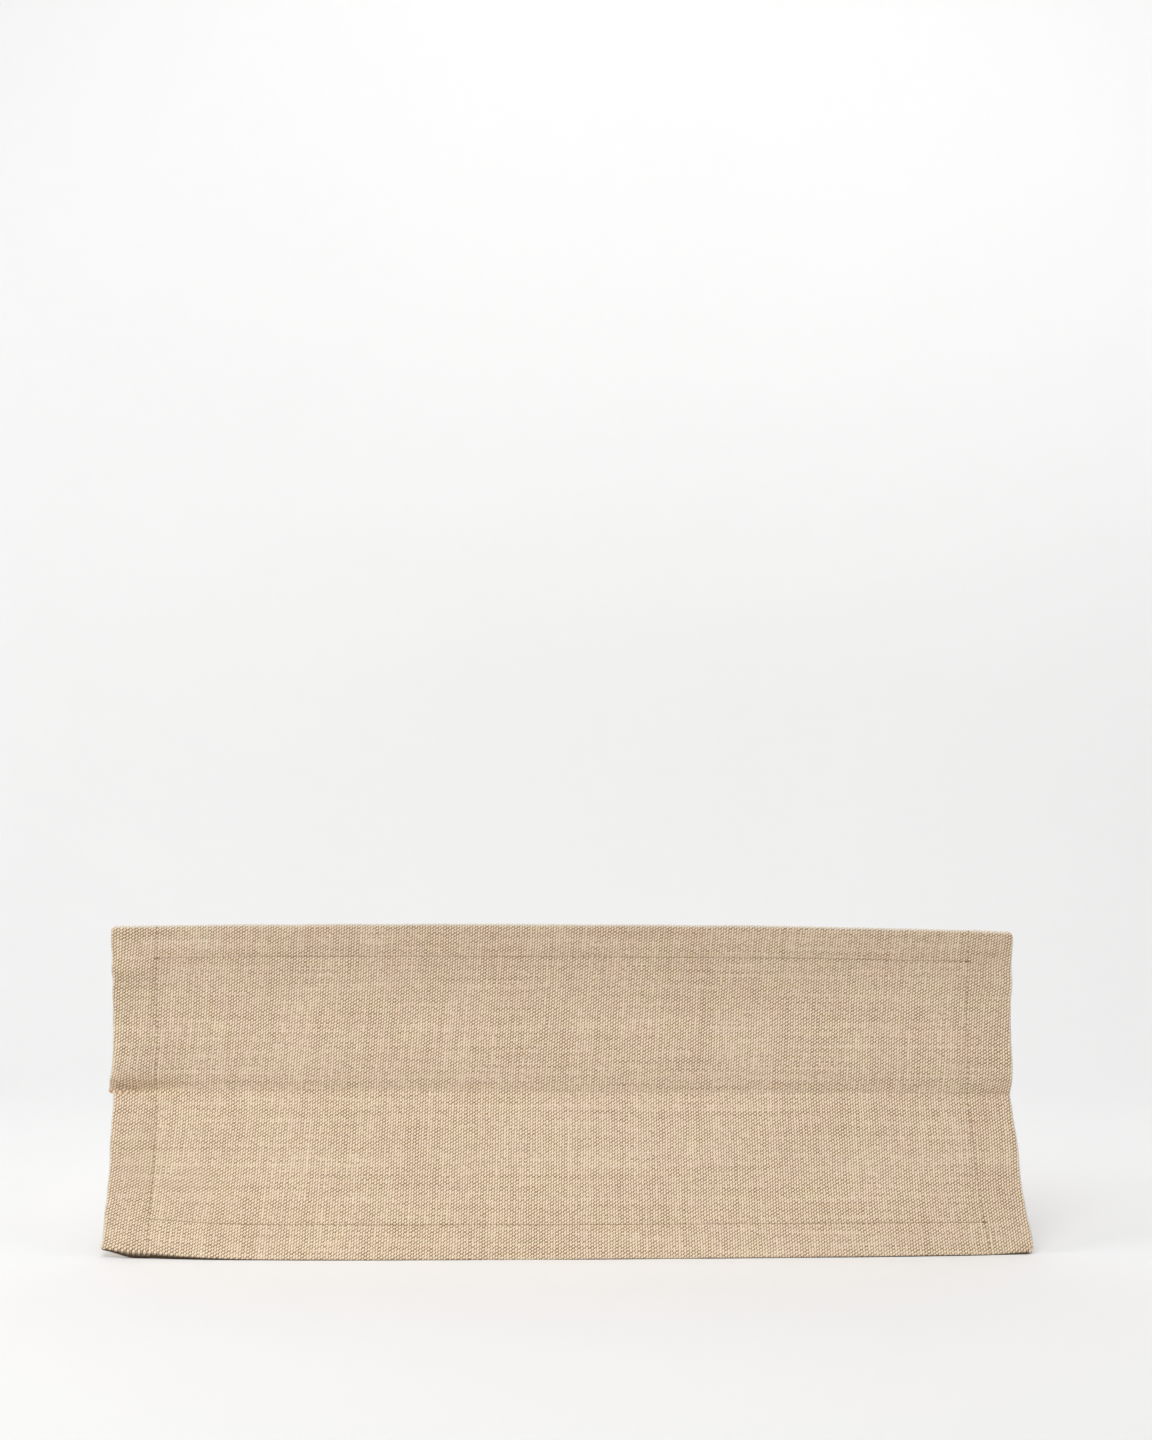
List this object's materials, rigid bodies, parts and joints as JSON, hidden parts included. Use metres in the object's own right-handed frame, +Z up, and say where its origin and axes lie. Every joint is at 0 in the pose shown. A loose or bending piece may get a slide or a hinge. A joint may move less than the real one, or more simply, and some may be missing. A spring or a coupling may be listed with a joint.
{
  "type": "table runner",
  "caption": "Long rectangular table runner in heavy tan canvas, hemmed on all sides and creased along its middle, standing half open on one long edge.",
  "frame": {"origin": "on the table, under the middle of the runner's box at rest", "axes": "+X along the runner to the right as seen from its face, +Y from the face towards the back, +Z up"},
  "size_m": [0.9, 0.0876, 0.3159],
  "materials": {
    "canvas_face": "matt coarse plain-weave canvas",
    "canvas_back": "matt canvas, turned hem on the back",
    "thread": "spun polyester-cotton sewing thread"
  },
  "bodies": {
    "lower_half": {"lower_panel": "canvas_face", "bottom_hem": "canvas_back", "left_hem_lower": "canvas_back", "right_hem_lower": "canvas_back", "needle_thread_bottom": "thread", "needle_thread_left_lower": "thread", "needle_thread_right_lower": "thread", "bobbin_thread_bottom": "thread", "bobbin_thread_left_lower": "thread", "bobbin_thread_right_lower": "thread"},
    "upper_half": {"upper_panel": "canvas_face", "top_hem": "canvas_back", "left_hem_upper": "canvas_back", "right_hem_upper": "canvas_back", "needle_thread_top": "thread", "needle_thread_left_upper": "thread", "needle_thread_right_upper": "thread", "bobbin_thread_top": "thread", "bobbin_thread_left_upper": "thread", "bobbin_thread_right_upper": "thread"}
  },
  "joints": [
    {"name": "centre_crease", "type": "hinge", "parent": "lower_half", "child": "upper_half", "pos_m": [0, 0.02674, 0.14784], "axis": [1, 0, 0], "range_deg": [-24, 150]}
  ]
}
